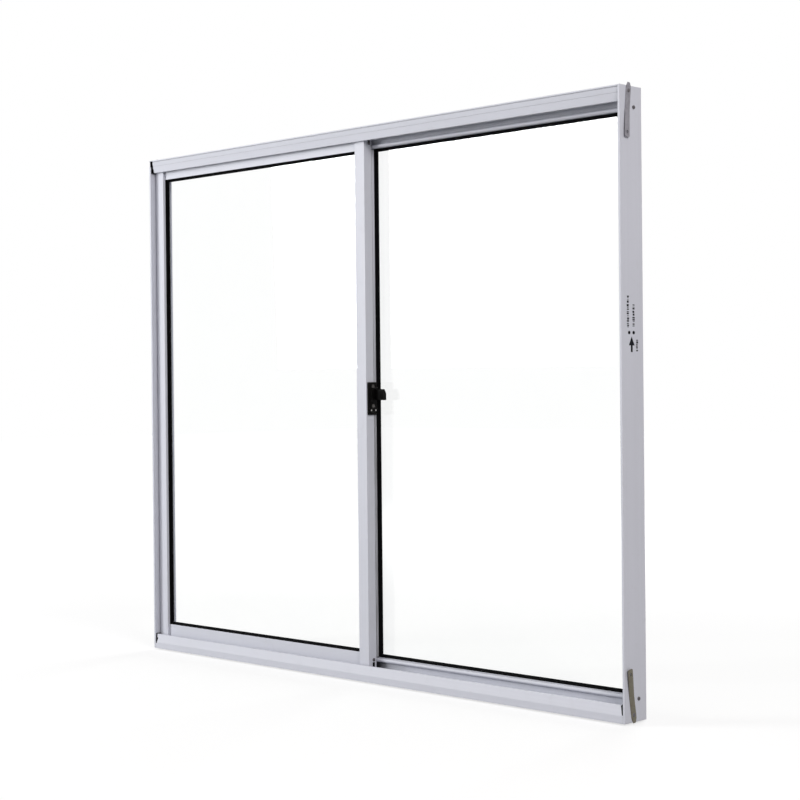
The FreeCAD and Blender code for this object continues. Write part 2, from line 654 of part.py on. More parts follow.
def strap(side, tip_up):
    # Laid out with the fixed end at the origin, free end towards -Z, then turned into place.
    outline = [
        (0.0, STRAP_TIP), (0.0, -STRAP_FLAT), (STRAP_LIFT, -STRAP_LENGTH + STRAP_TIP),
        (STRAP_LIFT + STRAP_THICK, -STRAP_LENGTH + STRAP_TIP), (STRAP_THICK, -STRAP_FLAT),
        (STRAP_THICK, STRAP_TIP),
    ]
    half = STRAP_WIDTH / 2.0
    plate = along_y(outline, -half, half)
    end = STRAP_TIP - STRAP_LENGTH
    nose = STRAP_TIP_WIDTH / 2.0
    corner = half - STRAP_CORNER
    cover = STRAP_LIFT + 2.0 * STRAP_THICK
    outline_side = [(-half, STRAP_SHOULDER), (-nose, STRAP_TIP), (nose, STRAP_TIP), (half, STRAP_SHOULDER),
                    (half, end + STRAP_CORNER), (corner, end), (-corner, end), (-half, end + STRAP_CORNER)]
    plate = plate.common(along_x(outline_side, 0, cover))
    plate = plate.cut(rod_x(0, cover, 0, end + STRAP_HOLE_FROM_END, STRAP_HOLE))
    if not tip_up:
        plate = plate.mirror(vec(0, 0, 0), vec(0, 0, 1))
    if side < 0:
        plate = plate.mirror(vec(0, 0, 0), vec(1, 0, 0))
    return plate


def place_strap(side, y, z, turn, tip_up):
    plate = strap(side, tip_up)
    plate.rotate(vec(0, 0, 0), vec(1, 0, 0), turn)
    plate.translate(vec(side * HALF, y, z))
    return plate


save("frame_head", head())
save("frame_sill", sill())
save("frame_jamb_left", jamb(-1))
save("frame_jamb_right", jamb(1))

save("corner_seals_top", group([corner_seal(side, True) for side in (-1, 1)]))
save("corner_seals_bottom", group([corner_seal(side, False) for side in (-1, 1)]))

STRAPS = (("top", TOP_STRAP_DEPTH, HEIGHT - TOP_STRAP_FROM_TOP, TOP_STRAP_TURN, True),
          ("bottom", BOTTOM_STRAP_DEPTH, BOTTOM_STRAP_HEIGHT, BOTTOM_STRAP_TURN, False))
for side, word in ((-1, "left"), (1, "right")):
    screws = []
    for z in (PORT_FROM_BOTTOM, HEIGHT - PORT_FROM_TOP):
        screws.append(screw_x(side * HALF, side, PORT_DEPTH, z, FRAME_SCREW_REACH,
                              SCREW_HEAD, SCREW_HEAD_HEIGHT))
    save("frame_screws_" + word, group(screws))
    rivets = []
    for tag, y, z, turn, tip_up in STRAPS:
        save("anchor_strap_" + word + "_" + tag, place_strap(side, y, z, turn, tip_up))
        seat = side * (HALF + STRAP_THICK)
        rivets.append(rod_x(seat, seat + side * RIVET_HEIGHT, y, z, RIVET_RADIUS))
    save("anchor_rivets_" + word, group(rivets))

build_sash("front_sash", {
    "depth": FRONT_SASH_DEPTH, "left": FRONT_SASH_LEFT, "right": FRONT_SASH_RIGHT, "side": 1,
    "rail_top": FRONT_RAIL_TOP, "head_rail_low": FRONT_HEAD_RAIL_LOW, "track": FRONT_TRACK_TOP,
    "behind_port": False,
})
build_sash("rear_sash", {
    "depth": REAR_SASH_DEPTH, "left": REAR_SASH_LEFT, "right": REAR_SASH_RIGHT, "side": -1,
    "rail_top": REAR_RAIL_TOP, "head_rail_low": REAR_HEAD_RAIL_LOW, "track": REAR_TRACK_TOP,
    "behind_port": True,
})

save("interlock_pile", interlock_pile())
save("latch_body", latch_body())
save("latch_lever", latch_lever())
save("latch_screws", latch_screws())
save("latch_keeper", latch_keeper())
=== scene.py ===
import math
import random

import bmesh
import bpy
from mathutils import Matrix, Vector


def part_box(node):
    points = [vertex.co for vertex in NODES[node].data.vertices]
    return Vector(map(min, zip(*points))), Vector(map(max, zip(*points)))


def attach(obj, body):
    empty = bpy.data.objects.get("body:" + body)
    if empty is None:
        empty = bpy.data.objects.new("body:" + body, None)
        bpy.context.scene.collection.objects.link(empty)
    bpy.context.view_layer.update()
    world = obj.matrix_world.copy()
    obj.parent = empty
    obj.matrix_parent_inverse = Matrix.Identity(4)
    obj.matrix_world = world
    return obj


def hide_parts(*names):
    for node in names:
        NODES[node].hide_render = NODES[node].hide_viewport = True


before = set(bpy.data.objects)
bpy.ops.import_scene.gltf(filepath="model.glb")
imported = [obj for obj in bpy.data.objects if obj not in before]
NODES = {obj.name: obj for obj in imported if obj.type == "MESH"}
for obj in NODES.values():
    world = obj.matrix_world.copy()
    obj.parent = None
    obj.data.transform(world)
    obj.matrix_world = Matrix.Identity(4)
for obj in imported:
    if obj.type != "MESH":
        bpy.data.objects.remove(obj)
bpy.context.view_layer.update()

# Lengths are in metres and angles in radians, unless a name or comment says otherwise.
# X runs along the window, -Y faces the room and Z = 0 is the underside of the jambs.
JAMB_FACE = 0.600
FRONT = -0.028


# Camera at the photograph's viewing angle

CAMERA_PLACE = (2.20512, -2.15972, 0.52958)
CAMERA_YAW, CAMERA_PITCH, CAMERA_ROLL = -0.77566, -0.00723, -0.00987
CAMERA_LENS_MM, CAMERA_SENSOR_MM = 76.318, 36.0
CAMERA_NEAR, CAMERA_FAR = 0.05, 100.0


def make_camera():
    yaw, pitch, roll = CAMERA_YAW, CAMERA_PITCH, CAMERA_ROLL
    forward = Vector((math.sin(yaw) * math.cos(pitch), math.cos(yaw) * math.cos(pitch),
                      math.sin(pitch)))
    right = Vector((math.cos(yaw), -math.sin(yaw), 0.0))
    up = right.cross(forward)
    side = math.cos(roll) * right + math.sin(roll) * up
    top = -math.sin(roll) * right + math.cos(roll) * up
    data = bpy.data.cameras.new("camera")
    data.sensor_width = CAMERA_SENSOR_MM
    data.lens = CAMERA_LENS_MM
    data.clip_start, data.clip_end = CAMERA_NEAR, CAMERA_FAR
    camera = bpy.data.objects.new("camera", data)
    turn = Matrix((side, top, -forward)).transposed().to_4x4()
    camera.matrix_world = Matrix.Translation(CAMERA_PLACE) @ turn
    bpy.context.scene.collection.objects.link(camera)
    bpy.context.scene.camera = camera


# Node helpers

# Socket numbers of the colour mode of Blender's Mix node
MIX_A, MIX_B, MIX_RESULT = 6, 7, 2


def rgba(colour):
    """Adds full opacity to a written colour. A socket is passed on as it is."""
    if isinstance(colour, bpy.types.NodeSocket):
        return colour
    return (*colour, 1.0)


def shade(colour, factor):
    return [min(1.0, channel * factor) for channel in colour]


class Tree:
    """Adds nodes to a cleared node tree and joins them."""

    def __init__(self, tree):
        self.tree = tree
        self.tree.nodes.clear()

    def feed(self, socket, value):
        if isinstance(value, bpy.types.NodeSocket):
            self.tree.links.new(value, socket)
        else:
            socket.default_value = value

    def add(self, kind, inputs=None, **settings):
        node = self.tree.nodes.new(kind)
        for key, value in settings.items():
            setattr(node, key, value)
        for key, value in (inputs or {}).items():
            self.feed(node.inputs[key], value)
        return node

    def place(self):
        return self.add("ShaderNodeTexCoord").outputs["Object"]

    def axes(self, place):
        node = self.add("ShaderNodeSeparateXYZ", {0: place})
        return [node.outputs[axis] for axis in "XYZ"]

    def math(self, operation, a, b):
        return self.add("ShaderNodeMath", {0: a, 1: b}, operation=operation).outputs[0]

    def times(self, a, b):
        return self.math("MULTIPLY", a, b)

    def plus(self, a, b):
        return self.math("ADD", a, b)

    def ramp(self, value, low, high):
        """0 at low and 1 at high, with the same held beyond them."""
        node = self.add("ShaderNodeMapRange",
                        {"Value": value, "From Min": low, "From Max": high})
        return node.outputs["Result"]

    def mix(self, factor, a, b):
        node = self.add("ShaderNodeMix", {"Factor": factor}, data_type="RGBA")
        self.feed(node.inputs[MIX_A], rgba(a))
        self.feed(node.inputs[MIX_B], rgba(b))
        return node.outputs[MIX_RESULT]

    def over(self, base, mask, amount, colour):
        """Lays colour on base where mask is 1, at most as thick as amount."""
        return self.mix(self.times(mask, amount), base, colour)

    def noise(self, place, scale, detail=2.0, roughness=0.5):
        return self.add("ShaderNodeTexNoise", {
            "Vector": place, "Scale": scale, "Detail": detail, "Roughness": roughness,
        }).outputs["Fac"]

    def stretched(self, place, scale):
        return self.add("ShaderNodeMapping", {"Vector": place, "Scale": scale}).outputs["Vector"]

    def bump(self, strength, distance, height, **more):
        inputs = {"Strength": strength, "Distance": distance, "Height": height}
        return self.add("ShaderNodeBump", {**inputs, **more}).outputs["Normal"]

    def principled(self, base, rough, normal, more):
        inputs = {"Base Color": base, "Roughness": rough, "Normal": normal}
        return self.add("ShaderNodeBsdfPrincipled", {**inputs, **more}).outputs[0]

    def surface(self, shader, kind="ShaderNodeOutputMaterial"):
        self.add(kind, {"Surface": shader})


def new_material(name):
    material = bpy.data.materials.new(name)
    material.use_nodes = True
    return material, Tree(material.node_tree)


def edge_mask(t, radius):
    """1 where the surface turns within radius of the point, 0 on flat ground."""
    flat_cosine, turned_cosine = 0.995, 0.86
    soft = t.add("ShaderNodeBevel", {"Radius": radius}, samples=4).outputs["Normal"]
    hard = t.add("ShaderNodeNewGeometry").outputs["Normal"]
    dot = t.add("ShaderNodeVectorMath", {0: soft, 1: hard}, operation="DOT_PRODUCT")
    return t.ramp(dot.outputs["Value"], flat_cosine, turned_cosine)


def crevice(t, reach):
    """1 deep in a groove or slot narrower than reach, 0 on open faces and in plain corners."""
    corner_sky, groove_sky = 0.58, 0.22
    open_sky = t.add("ShaderNodeAmbientOcclusion", {"Distance": reach}, samples=6).outputs["AO"]
    return t.ramp(open_sky, corner_sky, groove_sky)


# Painted shade and shadow: each function gives a mask, thickest where it is 1


def lip_painted_shade(t, place):
    """Painted shade on the front lip of the rear meeting stile beside the interlock, thicker low
    down and broken into streaks.
    """
    thickest = 0.80
    streaks_per_metre = (900.0, 900.0, 14.0)
    x, y, z = t.axes(place)
    near_lip = t.ramp(x, 0.0122, 0.0136)
    front_wall = t.ramp(y, 0.0126, 0.0122)
    low = t.ramp(z, 0.80, 0.45)
    streak = t.ramp(t.noise(t.stretched(place, streaks_per_metre), 1.0, 3.0), 0.25, 0.60)
    spread = t.times(t.times(near_lip, front_wall), t.times(low, streak))
    return t.times(spread, thickest)


def track_painted_shadow(t, place):
    """Painted shadow of the meeting stiles on the wall of the sill's track, thickest at their foot.
    """
    dense_share, thin_share = 0.64, 0.34
    x, y, z = t.axes(place)
    dense = t.times(t.ramp(x, 0.042, 0.018), dense_share)
    thin = t.times(t.ramp(x, 0.110, 0.045), thin_share)
    start = t.ramp(x, -0.030, 0.0)
    wall = t.times(t.ramp(y, 0.0060, 0.0085), t.ramp(y, 0.0106, 0.0102))
    low = t.times(t.ramp(z, 0.0345, 0.0330), wall)
    return t.times(t.times(t.plus(dense, thin), start), low)


# Materials


def powder_coat(name, colour, axis, painted_shade=None):
    """Sprayed enamel on an extrusion along axis: orange peel, die lines, handling dust, and painted
    shade in narrow grooves.

    The last argument is the function of a mask and the colour of the shade painted where that mask
    is 1.
    """
    corner_radius, worn_reach, groove_reach = 0.0009, 0.0007, 0.004
    dust_colour, worn_colour, groove_shade = (0.52, 0.50, 0.47), (0.50, 0.50, 0.52), (0.10,) * 3
    material, t = new_material(name)
    place = t.place()
    along = [260.0, 260.0, 260.0]
    along[axis] = 1.5
    lines = t.noise(t.stretched(place, along), 1.0, 3.0)
    cloud = t.noise(place, 3.2, 3.0)
    dust = t.ramp(t.noise(place, 55.0, 6.0, 0.7), 0.56, 0.76)
    peel = t.noise(place, 1100.0, 2.0)
    base = t.mix(t.ramp(cloud, 0.3, 0.7), shade(colour, 0.965), shade(colour, 1.02))
    base = t.over(base, t.ramp(lines, 0.35, 0.75), 0.16, shade(colour, 0.82))
    base = t.over(base, dust, 0.10, dust_colour)
    chips = t.times(edge_mask(t, worn_reach), t.ramp(t.noise(place, 420.0, 3.0), 0.45, 0.75))
    base = t.over(base, chips, 0.35, worn_colour)
    # Painted shade: grooves and slots narrower than groove_reach are darkened where shade falls in
    # them
    base = t.over(base, crevice(t, groove_reach), 0.85, groove_shade)
    # Painted shade laid with the given mask and colour, where shade falls on this part
    if painted_shade:
        cover, shade_colour = painted_shade
        base = t.mix(cover(t, place), base, shade_colour)
    rough = t.plus(t.times(cloud, 0.12), 0.38)
    rough = t.plus(rough, t.times(dust, 0.18))
    height = t.plus(t.times(peel, 0.6), t.times(lines, 0.5))
    soft = t.add("ShaderNodeBevel", {"Radius": corner_radius}, samples=6).outputs["Normal"]
    normal = t.bump(0.22, 0.00012, height, Normal=soft)
    t.surface(t.principled(base, rough, normal, {"Specular IOR Level": 0.36}))
    return material


def clear_glass(name):
    """Float glass: faint green body, a little dust film, and lamps shine through it."""
    material, t = new_material(name)
    place = t.place()
    film = t.ramp(t.noise(place, 14.0, 5.0, 0.65), 0.45, 0.85)
    tint = t.mix(film, (0.993, 0.999, 0.996), (0.980, 0.990, 0.986))
    rough = t.times(film, 0.015)
    wave = t.noise(place, 2.2, 1.0)
    normal = t.bump(0.05, 0.0004, wave)
    glass = t.principled(tint, rough, normal, {
        "IOR": 1.5, "Transmission Weight": 1.0, "Specular IOR Level": 0.2,
    })
    clear = t.add("ShaderNodeBsdfTransparent", {"Color": rgba((0.93, 0.95, 0.94))})
    path = t.add("ShaderNodeLightPath")
    through = t.math("MAXIMUM", path.outputs["Is Shadow Ray"], path.outputs["Is Diffuse Ray"])
    both = t.add("ShaderNodeMixShader", {0: through, 1: glass, 2: clear.outputs[0]})
    t.surface(both.outputs[0])
    return material


def moulded(name, colour, rough, grain, depth, worn, shine):
    """Moulded plastic or rubber: fine grain, cloudy tone, edges rubbed a little lighter.

    grain is the scale of the bumps and depth their height.
    """
    material, t = new_material(name)
    place = t.place()
    cloud = t.noise(place, 38.0, 4.0, 0.6)
    fine = t.noise(place, grain, 3.0)
    base = t.mix(t.ramp(cloud, 0.3, 0.7), shade(colour, 0.8), shade(colour, 1.25))
    edge = t.times(edge_mask(t, 0.0006), t.ramp(t.noise(place, 300.0, 3.0), 0.35, 0.7))
    base = t.over(base, edge, 0.5, worn)
    level = t.plus(t.times(cloud, 0.14), rough)
    normal = t.bump(0.5, depth, fine)
    t.surface(t.principled(base, level, normal, {"Specular IOR Level": shine}))
    return material


def plated(name, colour, second, rough, cells, stain, metallic, rubbed):
    """Zinc-plated steel: crystal cells, scratches, dull stains, rubbed or darkened edges.

    cells is the scale of the crystals, and rubbed the shade of the edges.
    """
    material, t = new_material(name)
    place = t.place()
    crystal = t.add("ShaderNodeTexVoronoi", {"Vector": place, "Scale": cells}).outputs["Color"]
    tone = t.add("ShaderNodeSeparateColor", {0: crystal}).outputs[0]
    cloud = t.noise(place, 120.0, 4.0, 0.6)
    scratch = t.noise(t.stretched(place, (1500.0, 1500.0, 60.0)), 1.0, 3.0)
    base = t.over(colour, tone, 0.6, second)
    base = t.over(base, t.ramp(cloud, 0.5, 0.72), 0.55, stain)
    base = t.over(base, edge_mask(t, 0.0005), 0.5, shade(second, rubbed))
    level = t.plus(t.times(cloud, 0.25), rough)
    height = t.plus(t.times(scratch, 0.6), t.times(cloud, 0.4))
    normal = t.bump(0.35, 0.0001, height)
    t.surface(t.principled(base, level, normal, {
        "Metallic": metallic, "Specular IOR Level": 0.25,
    }))
    return material


def woven_pile(name, colour):
    """Dense brush fibres that stand across the strip."""
    material, t = new_material(name)
    place = t.place()
    tufts = t.noise(t.stretched(place, (3500.0, 300.0, 3500.0)), 1.0, 2.0)
    cloud = t.noise(place, 60.0, 3.0)
    base = t.mix(t.ramp(tufts, 0.3, 0.7), shade(colour, 0.55), shade(colour, 1.3))
    base = t.over(base, cloud, 0.2, shade(colour, 0.7))
    normal = t.bump(0.8, 0.0003, tufts)
    t.surface(t.principled(base, 0.95, normal, {"Sheen Weight": 0.3}))
    return material


def print_ink(name, colour, thin_colour):
    """Stamped ink: uneven cover, a little greyer where it is thin."""
    material, t = new_material(name)
    place = t.place()
    thin = t.ramp(t.noise(place, 700.0, 4.0, 0.65), 0.52, 0.85)
    base = t.over(colour, thin, 0.7, thin_colour)
    rough = t.plus(t.times(thin, 0.2), 0.55)
    normal = t.bump(0.2, 0.00003, thin)
    t.surface(t.principled(base, rough, normal, {"Specular IOR Level": 0.08}))
    return material


FRAME_COLOUR = (0.700, 0.715, 0.790)
SASH_COLOUR = (0.710, 0.725, 0.800)
ALONG_X, ALONG_Z = 0, 2
COAT = {
    ("frame_aluminium", ALONG_X): powder_coat("frame_coat_across", FRAME_COLOUR, ALONG_X),
    ("frame_aluminium", ALONG_Z): powder_coat("frame_coat_upright", FRAME_COLOUR, ALONG_Z),
    ("sash_aluminium", ALONG_X): powder_coat("sash_coat_across", SASH_COLOUR, ALONG_X),
    ("sash_aluminium", ALONG_Z): powder_coat("sash_coat_upright", SASH_COLOUR, ALONG_Z),
}
# Coats with painted shade: a shaded strip on the rear meeting stile's lip, and the meeting stiles'
# painted shadow in the sill's track
PAINTED_SHADE_COAT = {
    "rear_sash_meeting_stile": powder_coat(
        "sash_coat_painted_shade", SASH_COLOUR, ALONG_Z, (lip_painted_shade, (0.17, 0.17, 0.165))),
    "frame_sill": powder_coat(
        "sill_coat_painted_shadow", FRAME_COLOUR, ALONG_X, (track_painted_shadow, (0.04, 0.04, 0.045))),
}
FINISH = {
    "clear_glass": clear_glass("float_glass"),
    "black_rubber": moulded(
        "glazing_rubber", (0.0030, 0.0030, 0.0035), rough=0.70, grain=1600.0, depth=0.0001,
        worn=(0.010, 0.010, 0.010), shine=0.03),
    "black_plastic": moulded(
        "latch_plastic", (0.0022, 0.0020, 0.0019), rough=0.45, grain=2200.0, depth=0.00006,
        worn=(0.018, 0.017, 0.016), shine=0.045),
    "grey_nylon": moulded(
        "wheel_nylon", (0.60, 0.60, 0.58), rough=0.42, grain=900.0, depth=0.00005,
        worn=(0.45, 0.44, 0.42), shine=0.4),
    "grey_pile": woven_pile("weather_pile", (0.33, 0.33, 0.35)),
    "screw_steel": plated(
        "screw_zinc", (0.13, 0.12, 0.13), (0.20, 0.19, 0.20), rough=0.40, cells=900.0,
        stain=(0.06, 0.055, 0.055), metallic=0.4, rubbed=1.1),
    "latch_screw_steel": plated(
        "latch_screw_zinc", (0.085, 0.080, 0.078), (0.13, 0.125, 0.12), rough=0.42, cells=900.0,
        stain=(0.05, 0.045, 0.04), metallic=0.3, rubbed=1.2),
    "strap_galvanised": plated(
        "strap_zinc", (0.295, 0.288, 0.322), (0.360, 0.353, 0.392), rough=0.45, cells=420.0,
        stain=(0.190, 0.184, 0.208), metallic=0.15, rubbed=0.6),
    "strap_yellow_zinc": plated(
        "strap_chromate", (0.190, 0.178, 0.136), (0.228, 0.210, 0.164), rough=0.48, cells=300.0,
        stain=(0.150, 0.116, 0.096), metallic=0.15, rubbed=0.6),
}
ACROSS = ("head", "sill", "rail")


def dress_nodes():
    for name, node in NODES.items():
        for index, old in enumerate(node.data.materials):
            slot = old.name.split(".")[0]
            if name.endswith("top_guides"):
                material = FINISH["black_plastic"]
            elif name in PAINTED_SHADE_COAT:
                material = PAINTED_SHADE_COAT[name]
            elif slot in FINISH:
                material = FINISH[slot]
            else:
                material = COAT[(slot, ALONG_X if name.endswith(ACROSS) else ALONG_Z)]
            node.data.materials[index] = material


# Mesh helpers

# Faces that meet at less than this angle are shaded as one smooth surface
SMOOTH_ANGLE = 0.7
SIDES = (("left", -1), ("right", 1))


def put(name, mesh_builder, material, replaced=()):
    """Makes one piece from a bmesh and fixes it to the window."""
    mesh = bpy.data.meshes.new(name)
    bm = bmesh.new()
    mesh_builder(bm)
    bmesh.ops.recalc_face_normals(bm, faces=bm.faces)
    for face in bm.faces:
        face.smooth = True
    for edge in bm.edges:
        edge.smooth = edge.is_manifold and edge.calc_face_angle(0.0) < SMOOTH_ANGLE
    bm.to_mesh(mesh)
    bm.free()
    piece = bpy.data.objects.new(name, mesh)
    bpy.context.scene.collection.objects.link(piece)
    mesh.materials.append(material)
    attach(piece, "root")
    for node in replaced:
        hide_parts(node)


def rings(bm, loops, place):
    """Skins a list of closed loops of local points, moved by the matrix place, with ends."""
    rows = [[bm.verts.new(place @ Vector(point)) for point in loop] for loop in loops]
    count = len(rows[0])
    for low, high in zip(rows, rows[1:]):
        for i in range(count):
            j = (i + 1) % count
            bm.faces.new((low[i], low[j], high[j], high[i]))
    bm.faces.new(rows[0])
    bm.faces.new(rows[-1])


def prism(bm, near, far):
    """A solid between two outlines of the same number of points. Returns its faces."""
    first = [bm.verts.new(point) for point in near]
    second = [bm.verts.new(point) for point in far]
    faces = [bm.faces.new(first), bm.faces.new(second)]
    for i in range(len(first)):
        j = (i + 1) % len(first)
        faces.append(bm.faces.new((first[i], first[j], second[j], second[i])))
    return faces


def bevel(bm, edges, radius, segments):
    """Rounds edges, which may be named twice, in the order in which they first come."""
    bmesh.ops.bevel(bm, geom=list(dict.fromkeys(edges)), offset=radius, segments=segments,
                    profile=0.5, affect="EDGES")


def soft_box(bm, low, high, radius, segments=3):
    """A box with rounded edges."""
    verts = bmesh.ops.create_cube(bm, size=1.0)["verts"]
    centre = [(a + b) / 2 for a, b in zip(low, high)]
    size = [b - a for a, b in zip(low, high)]
    bmesh.ops.scale(bm, vec=size, verts=verts)
    bmesh.ops.translate(bm, vec=centre, verts=verts)
    bevel(bm, [edge for vert in verts for edge in vert.link_edges], radius, segments)


def thick_plate(bm, outline, y0, y1, radius):
    """A plate with rounded edges, its outline given as X and Z."""
    faces = prism(bm, [(x, y0, z) for x, z in outline], [(x, y1, z) for x, z in outline])
    bmesh.ops.recalc_face_normals(bm, faces=faces)
    bevel(bm, [edge for face in faces for edge in face.edges], radius, 4)


def circle(radius, height, count):
    turns = [2 * math.pi * i / count for i in range(count)]
    return [(radius * math.cos(a), radius * math.sin(a), height) for a in turns]


def toward_x(x, y, z, side):
    """Local +Z points along X, outwards on that side."""
    turn = Matrix.Rotation(math.radians(90.0 * side), 4, "Y")
    return Matrix.Translation((x, y, z)) @ turn


# Screws and rivets

SCREW_RADIUS, SCREW_HEIGHT, SCREW_SHANK = 0.0030, 0.0018, 0.0014
FRAME_SCREW_REACH, SASH_SCREW_REACH = 0.0215, 0.0285
LATCH_SCREW_RADIUS, LATCH_SCREW_HEIGHT, LATCH_SCREW_SHANK = 0.0034, 0.0012, 0.0012
LATCH_SCREW_REACH, LATCH_SCREW_FROM_END = 0.004, 0.0026
RIVET_RADIUS, RIVET_HEIGHT = 0.0032, 0.0013


def recess_depth(x, y, radius):
    """Share of a cross recess's full depth at a point of the head."""
    arm_half, arm_reach = 0.15 * radius, 0.56 * radius
    across = min(abs(x), abs(y)) / arm_half
    along = max(abs(x), abs(y)) / arm_reach
    return max(0.0, 1.0 - max(across, along) ** 4) ** 0.5


def cross_screw(bm, place, radius, height, shank, reach, spin):
    """Pan head with a cross recess, and a threaded shank behind the seat plane."""
    around, steps = 48, 14
    # Shares of the head's radius
    crown_edge, crown_middle = 0.94, 0.02
    # Shares of the head's height
    shoulder, dome, recess = 0.72, 0.28, 0.62
    crown = []
    for k in range(steps + 1):
        r = radius * crown_edge * (1.0 - k / steps) + radius * crown_middle
        loop = []
        for i in range(around):
            a = 2 * math.pi * i / around
            x, y = r * math.cos(a), r * math.sin(a)
            top = height * (shoulder + dome * math.sqrt(max(0.0, 1.0 - (r / radius) ** 2)))
            loop.append((x, y, top - recess * height * recess_depth(x, y, radius)))
        crown.append(loop)
    rim = [circle(radius * wide, height * tall, around)
           for wide, tall in ((0.90, 0.0), (1.0, 0.16), (1.0, 0.52), (0.985, 0.66))]
    rings(bm, rim + crown, place @ Matrix.Rotation(spin, 4, "Z"))
    ring_spacing, least_rings, rings_a_turn, thread_around = 0.0004, 8, 3.0, 12
    root, crest, blunt_end, point_length = 0.80, 0.20, 0.25, 0.004
    count = max(least_rings, int(reach / ring_spacing))
    thread = []
    for k in range(count + 1):
        z = -reach * k / count
        wave = 0.5 + 0.5 * math.cos(2 * math.pi * k / rings_a_turn)
        taper = min(1.0, blunt_end + (reach + z) / point_length)
        thread.append(circle(shank * (root + crest * wave) * taper, z, thread_around))
    rings(bm, thread, place)


def blind_rivet(bm, place, radius, height):
    """Domed rivet head with the broken mandrel sunk in its middle."""
    around = 40
    # The dome's own radius and the flat middle, and the rim and dome heights, as shares
    bend, middle, rim, dome = 0.72, 0.28, 0.12, 0.88
    loops = [circle(radius * 0.93, 0.0, around), circle(radius, height * rim, around)]
    for degrees in range(10, 90, 10):
        a = math.radians(degrees)
        loops.append(circle(radius * math.cos(a) * bend + radius * middle,
                            height * (rim + dome * math.sin(a)), around))
    for wide, tall in ((0.33, 0.98), (0.30, 0.45), (0.12, 0.58)):
        loops.append(circle(radius * wide, height * tall, around))
    rings(bm, loops, place)


def make_side_fasteners(word, side):
    """The frame screws and strap rivets on one jamb's outer face."""
    zinc = FINISH["screw_steel"]
    low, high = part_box("frame_screws_" + word)

    def frame_pair(bm):
        for z, spin in ((low.z + SCREW_RADIUS, 0.5), (high.z - SCREW_RADIUS, 1.1)):
            place = toward_x(side * JAMB_FACE, (low.y + high.y) / 2.0, z, side)
            cross_screw(bm, place, SCREW_RADIUS, SCREW_HEIGHT, SCREW_SHANK, FRAME_SCREW_REACH,
                        spin)
    put("frame_screw_pair_" + word, frame_pair, zinc, ["frame_screws_" + word])
    rivet_low, rivet_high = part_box("anchor_rivets_" + word)

    def rivet_pair(bm):
        for z in (rivet_low.z + RIVET_RADIUS, rivet_high.z - RIVET_RADIUS):
            place = toward_x(side * (JAMB_FACE + STRAP_THICK), STRAP_Y, z, side)
            blind_rivet(bm, place, RIVET_RADIUS, RIVET_HEIGHT)
    put("strap_rivet_pair_" + word, rivet_pair, zinc, ["anchor_rivets_" + word])


def make_sash_screws(sash, meeting_side):
    """Four screws through the stiles into the rails, the meeting stile's first."""
    low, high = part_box(sash + "_screws")
    mid = (low.y + high.y) / 2.0
    ends = [(high.x, 1), (low.x, -1)]
    if meeting_side < 0:
        ends.reverse()

    def four(bm):
        for index, z in enumerate((low.z + SCREW_RADIUS, high.z - SCREW_RADIUS)):
            for (x, side), spin in zip(ends, (0.3, 0.8)):
                cross_screw(bm, toward_x(x - side * SCREW_HEIGHT, mid, z, side), SCREW_RADIUS,
                            SCREW_HEIGHT, SCREW_SHANK, SASH_SCREW_REACH, spin + index)
    put(sash + "_screw_set", four, FINISH["screw_steel"], [sash + "_screws"])


def make_latch_screws():
    low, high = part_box("latch_screws")
    mid = (low.y + high.y) / 2.0

    def latch_pair(bm):
        for z, spin in ((low.z + LATCH_SCREW_FROM_END, 0.2),
                        (high.z - LATCH_SCREW_FROM_END, 0.6)):
            cross_screw(bm, toward_x(low.x, mid, z, 1), LATCH_SCREW_RADIUS, LATCH_SCREW_HEIGHT,
                        LATCH_SCREW_SHANK, LATCH_SCREW_REACH, spin)
    put("latch_screw_pair", latch_pair, FINISH["latch_screw_steel"],
        ["latch_screws"])


# Anchor straps. A place on a strap is t along it, from STRAP_END to STRAP_TIP, and s across
# it, from -1 to 1.

STRAP_Y = -0.006104
STRAP_LENGTH, STRAP_TIP, STRAP_FLAT, STRAP_THICK = 0.087, 0.013, 0.030, 0.0012
STRAP_END = STRAP_TIP - STRAP_LENGTH
STRAP_LIFT = 0.0030
STRAP_HALF, STRAP_CORNER = 0.006, 0.002
NARROW_HALF, NARROW_START, NARROW_LENGTH = 0.003, 0.006, 0.007
STRAP_HOLE, STRAP_HOLE_PLACE = 0.0022, STRAP_END + 0.008
RIB_HEIGHT, RIB_HALF = 0.0009, 0.38
RIB_START, RIB_FADE_IN, RIB_STOP_FROM_END, RIB_FADE_OUT = 0.010, 0.010, 0.017, 0.008
EDGE_ROLL, EDGE_START = 0.00025, 0.86
STRAP_ROWS, STRAP_COLUMNS = 58, 14
# Word, height, lean in degrees, whether the tip points up, and slot
STRAPS = (("top", 0.992, -6.1, True, "strap_galvanised"),
          ("bottom", 0.012, 9.3, False, "strap_yellow_zinc"))


def strap_half_width(t):
    if t > NARROW_START:
        narrowing = (STRAP_HALF - NARROW_HALF) * max(0.0, (STRAP_TIP - t) / NARROW_LENGTH)
        return NARROW_HALF + narrowing
    from_end = t - STRAP_END
    if from_end < STRAP_CORNER:
        sag = max(0.0, STRAP_CORNER ** 2 - (STRAP_CORNER - from_end) ** 2)
        return STRAP_HALF - STRAP_CORNER + math.sqrt(sag)
    return STRAP_HALF


def strap_rise(t, s):
    """How far the bent strap and its pressed rib stand off the jamb."""
    lift = 0.0
    if t <= -STRAP_FLAT:
        lift = STRAP_LIFT * (-STRAP_FLAT - t) / (STRAP_LENGTH - STRAP_TIP - STRAP_FLAT)
    fade_in = min(1.0, max(0.0, (-RIB_START - t) / RIB_FADE_IN))
    fade_out = min(1.0, max(0.0, (t - STRAP_END - RIB_STOP_FROM_END) / RIB_FADE_OUT))
    return lift + RIB_HEIGHT * (fade_in * fade_out) * math.exp(-(s / RIB_HALF) ** 4)


